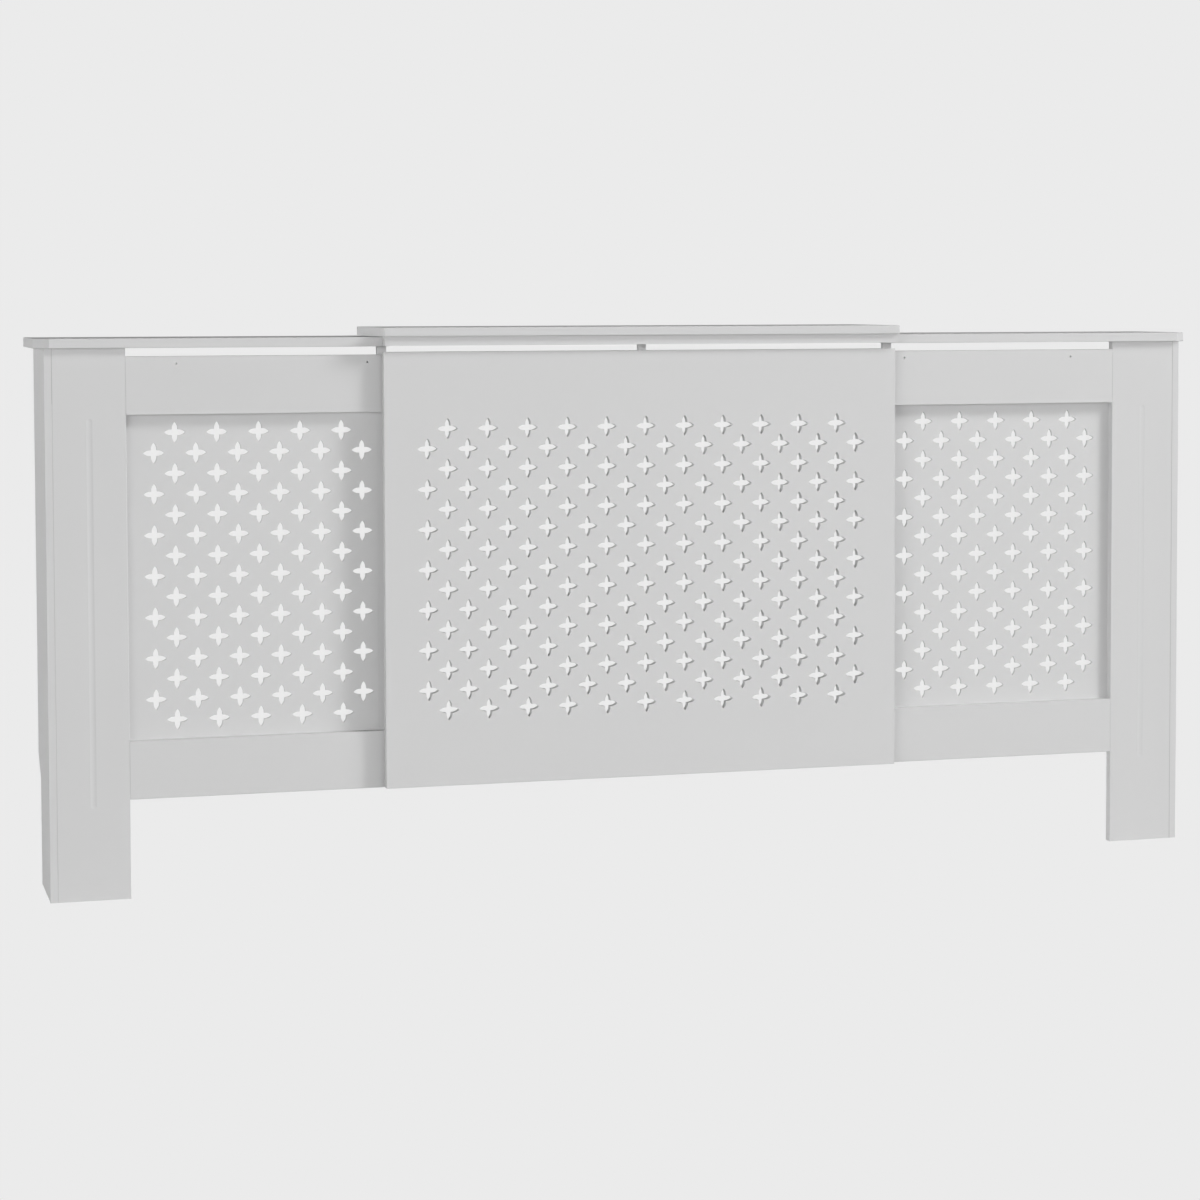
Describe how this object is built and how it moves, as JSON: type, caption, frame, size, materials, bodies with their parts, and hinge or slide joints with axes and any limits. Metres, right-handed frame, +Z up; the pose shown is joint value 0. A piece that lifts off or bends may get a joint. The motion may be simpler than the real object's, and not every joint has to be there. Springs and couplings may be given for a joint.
{
  "type": "extending radiator cover",
  "caption": "Painted radiator cover with pierced star grilles; side units slide in under and behind a raised centre section.",
  "frame": {"origin": "on the floor, midway along the cover and midway between the front edge of the centre shelf and the wall", "axes": "+X along the wall, to the right as seen from the room; +Y towards the wall; +Z up"},
  "size_m": [1.819, 0.2218, 0.8309],
  "materials": {
    "satin_paint": "satin paint on fibreboard",
    "zinc_steel": "zinc plated",
    "felt": "pressed felt",
    "beech": "fluted beech"
  },
  "bodies": {
    "centre": {"centre_shelf": "satin_paint", "apron": "satin_paint", "centre_panel": "satin_paint", "centre_post": "satin_paint", "post_packer": "satin_paint", "panel_glides": "felt", "apron_dowels": "beech"},
    "left_unit": {"left_side_panel": "satin_paint", "left_leg": "satin_paint", "left_top_rail": "satin_paint", "left_bottom_rail": "satin_paint", "left_grille": "satin_paint", "left_shelf": "satin_paint", "left_inner_post": "satin_paint", "left_corner_batten": "satin_paint", "left_rail_dowels": "beech", "left_rail_plates": "zinc_steel", "left_shelf_angles": "zinc_steel", "left_wall_bracket": "zinc_steel"},
    "right_unit": {"right_side_panel": "satin_paint", "right_leg": "satin_paint", "right_top_rail": "satin_paint", "right_bottom_rail": "satin_paint", "right_grille": "satin_paint", "right_shelf": "satin_paint", "right_inner_post": "satin_paint", "right_corner_batten": "satin_paint", "right_rail_dowels": "beech", "right_rail_plates": "zinc_steel", "right_shelf_angles": "zinc_steel", "right_wall_bracket": "zinc_steel"}
  },
  "joints": [
    {"name": "left_slide", "type": "slide", "parent": "centre", "child": "left_unit", "axis": [1, 0, 0], "range_m": [0, 0.387]},
    {"name": "right_slide", "type": "slide", "parent": "centre", "child": "right_unit", "axis": [-1, 0, 0], "range_m": [0, 0.387]}
  ]
}
